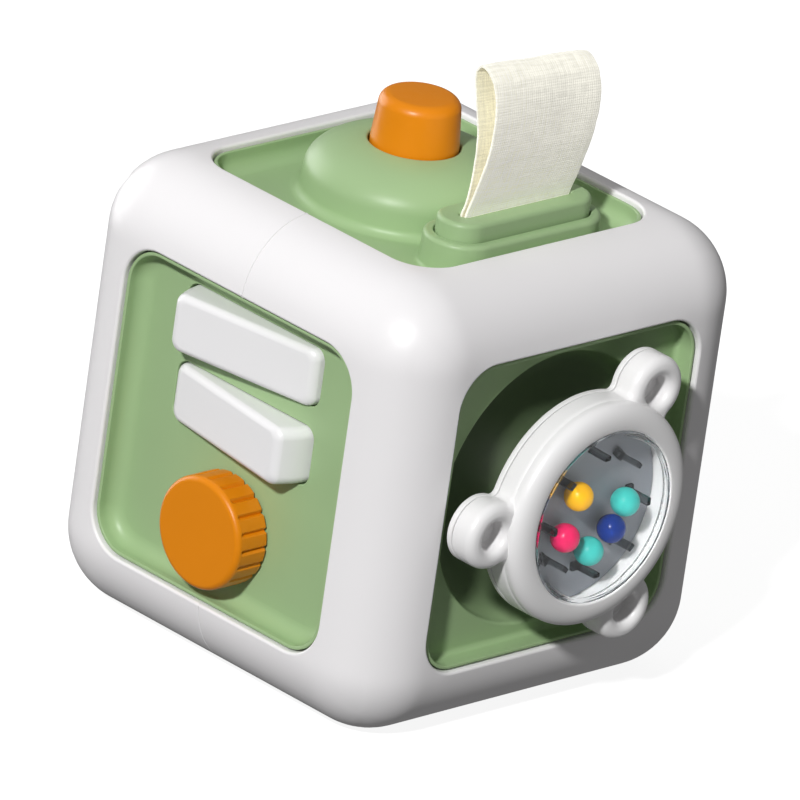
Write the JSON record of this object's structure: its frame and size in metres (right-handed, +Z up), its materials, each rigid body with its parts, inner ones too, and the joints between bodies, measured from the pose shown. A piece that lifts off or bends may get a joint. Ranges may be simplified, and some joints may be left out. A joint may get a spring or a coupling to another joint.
{
  "type": "baby activity cube",
  "caption": "Baby activity cube with a white frame, green recessed panels, rocker keys, ratchet knob, squeaking push button, ribbon loop and a spinning bead-rattle disc.",
  "frame": {"origin": "centre of the bounding box's base, on the surface the cube stands on", "axes": "+Z up; -Y is the face with the keys and the knob; +X is the face with the spinning disc; the button and the ribbon are on top"},
  "size_m": [0.1236, 0.1136, 0.1521],
  "materials": {
    "white": "white satin-gloss ABS",
    "green": "sage green satin ABS",
    "orange": "orange satin ABS",
    "ribbon": "cream woven linen-look ribbon",
    "natural": "natural acetal",
    "rubber": "matt grey rubber",
    "steel": "plain bright steel",
    "tray": "grey matt plastic",
    "clear": "clear polished plastic",
    "bead_yellow": "yellow gloss",
    "bead_pink": "pink gloss",
    "bead_teal": "teal gloss",
    "bead_blue": "dark blue gloss"
  },
  "bodies": {
    "cube": {"frame_left_half": "white", "frame_right_half": "white", "frame_screw_1": "steel", "frame_screw_2": "steel", "frame_screw_3": "steel", "frame_screw_4": "steel", "front_panel": "green", "top_panel": "green", "right_panel": "green", "back_panel": "green", "left_panel": "green", "bottom_panel": "green", "ribbon_bezel": "green", "bezel_screw_1": "steel", "bezel_screw_2": "steel", "ribbon_rod": "steel", "ribbon_loop": "ribbon", "squeaker_plate": "natural", "squeaker_reed": "natural", "squeaker_plate_screw_1": "steel", "squeaker_plate_screw_2": "steel", "squeaker_plate_screw_3": "steel", "squeaker_bellows": "rubber", "button_spring": "steel", "key_axle": "steel", "key_axle_ring": "steel", "key_click_spring": "steel", "click_spring_screw_1": "steel", "click_spring_screw_2": "steel", "knob_bush": "natural", "ratchet_pawl_spring": "steel", "pawl_spring_screw": "steel", "spinner_bush": "natural"},
    "upper_key": {"upper_key": "white"},
    "lower_key": {"lower_key": "white"},
    "knob": {"knob": "orange", "knob_shaft": "natural", "ratchet_wheel": "natural", "knob_washer": "steel", "knob_screw": "steel"},
    "push_button": {"push_button": "orange"},
    "spinner": {"spinner_rear_cover": "white", "spinner_body": "white", "spinner_tray": "tray", "spinner_front_ring": "white", "spinner_window": "clear", "spinner_cover_screw_1": "steel", "spinner_cover_screw_2": "steel", "spinner_cover_screw_3": "steel", "spinner_axle": "steel", "spinner_washer": "steel", "spinner_screw": "steel"},
    "bead_yellow": {"bead_yellow": "bead_yellow"},
    "bead_pink": {"bead_pink": "bead_pink"},
    "bead_teal_1": {"bead_teal_1": "bead_teal"},
    "bead_blue": {"bead_blue": "bead_blue"},
    "bead_teal_2": {"bead_teal_2": "bead_teal"}
  },
  "joints": [
    {"name": "upper_key_rock", "type": "hinge", "parent": "cube", "child": "upper_key", "pos_m": [-0.0068, -0.0432, 0.0799], "axis": [0, 0, -1], "range_deg": [0, 17]},
    {"name": "lower_key_rock", "type": "hinge", "parent": "cube", "child": "lower_key", "pos_m": [-0.0068, -0.0432, 0.0609], "axis": [0, 0, 1], "range_deg": [0, 17]},
    {"name": "knob_turn", "type": "hinge", "parent": "cube", "child": "knob", "pos_m": [-0.0068, -0.0472, 0.0356], "axis": [0, -1, 0], "continuous": true},
    {"name": "button_press", "type": "slide", "parent": "cube", "child": "push_button", "axis": [0, 0, -1], "range_m": [0, 0.005], "stiffness_N_per_m": 300, "springref_m": -0.004, "deforming": ["button_spring", "squeaker_bellows"]},
    {"name": "spinner_spin", "type": "hinge", "parent": "cube", "child": "spinner", "pos_m": [0.0502, 0.0018, 0.055], "axis": [1, 0, 0], "continuous": true},
    {"name": "bead_yellow_roll", "type": "hinge", "parent": "spinner", "child": "bead_yellow", "pos_m": [0.05665, 0.0018, 0.055], "axis": [1, 0, 0], "range_deg": [-30, 10]},
    {"name": "bead_pink_roll", "type": "hinge", "parent": "spinner", "child": "bead_pink", "pos_m": [0.05665, 0.0018, 0.055], "axis": [1, 0, 0], "range_deg": [-15, 5]},
    {"name": "bead_teal_1_roll", "type": "hinge", "parent": "spinner", "child": "bead_teal_1", "pos_m": [0.05665, 0.0018, 0.055], "axis": [1, 0, 0], "range_deg": [-12, 0]},
    {"name": "bead_blue_roll", "type": "hinge", "parent": "spinner", "child": "bead_blue", "pos_m": [0.05665, 0.0018, 0.055], "axis": [1, 0, 0], "range_deg": [-5, 0]},
    {"name": "bead_teal_2_roll", "type": "hinge", "parent": "spinner", "child": "bead_teal_2", "pos_m": [0.05665, 0.0018, 0.055], "axis": [1, 0, 0], "range_deg": [0, 40]}
  ]
}
